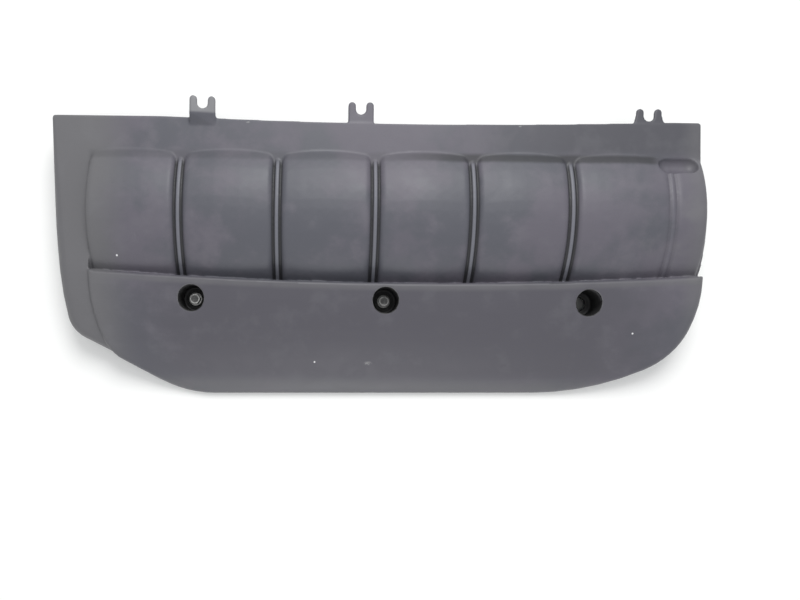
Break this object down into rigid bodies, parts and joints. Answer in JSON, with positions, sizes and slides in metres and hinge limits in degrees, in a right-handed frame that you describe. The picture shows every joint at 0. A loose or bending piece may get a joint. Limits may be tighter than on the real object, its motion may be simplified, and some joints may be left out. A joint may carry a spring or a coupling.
{
  "type": "engine cover",
  "caption": "Long moulded plastic engine cover with a row of arched pillow panels between beads, a curved front panel with deep screw wells, and forked tabs along the back edge.",
  "frame": {"origin": "centre of the cover's outline, on the plane of its rim", "axes": "+X along the row of pillows, +Y towards the edge with the forks, +Z out of the face"},
  "size_m": [0.652, 0.2975, 0.0625],
  "materials": {
    "plastic": "fine-grained moulded surface, worn satin",
    "zinc": "zinc plated, dulled",
    "rubber": "matt"
  },
  "bodies": {
    "root": {"cover_shell": "plastic", "left_screw": "zinc", "middle_screw": "zinc", "left_grommet": "rubber", "middle_grommet": "rubber", "left_sleeve": "zinc", "middle_sleeve": "zinc"}
  },
  "joints": []
}
